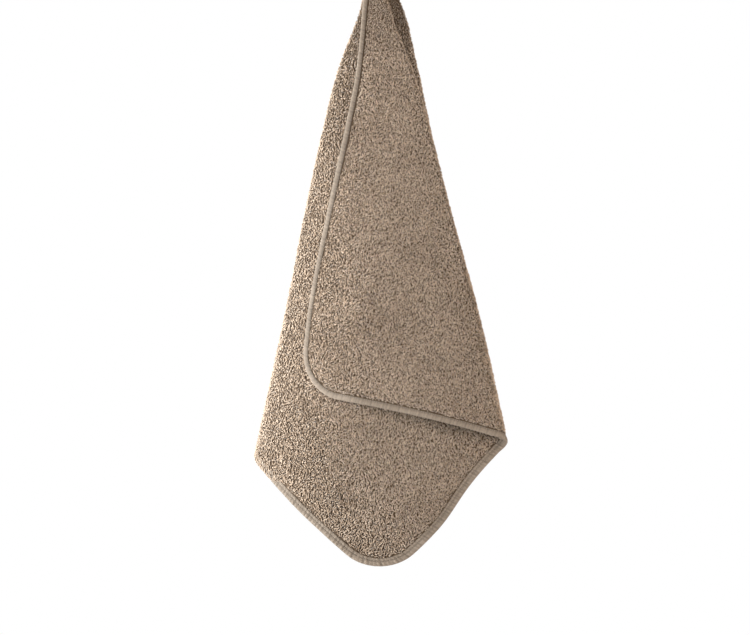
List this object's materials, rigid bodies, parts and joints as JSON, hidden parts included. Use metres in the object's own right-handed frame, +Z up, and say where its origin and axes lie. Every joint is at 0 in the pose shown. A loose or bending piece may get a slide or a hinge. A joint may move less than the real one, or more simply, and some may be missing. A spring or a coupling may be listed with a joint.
{
  "type": "bath towel",
  "caption": "Thick terry bath towel with rounded corners and a bound edge, hanging from the middle of one long edge and folded by its own weight.",
  "frame": {"origin": "the point that the towel hangs from, at the top of its bound long edge", "axes": "+Z up, +Y from the front flap to the back, +X to the right seen from the front"},
  "size_m": [0.392, 0.1654, 0.9618],
  "materials": {
    "terry": "taupe cotton terry, matt looped pile",
    "tape": "plain woven cotton tape, matt"
  },
  "bodies": {
    "root": {"terry_sheet": "terry", "edge_binding": "tape"}
  },
  "joints": []
}
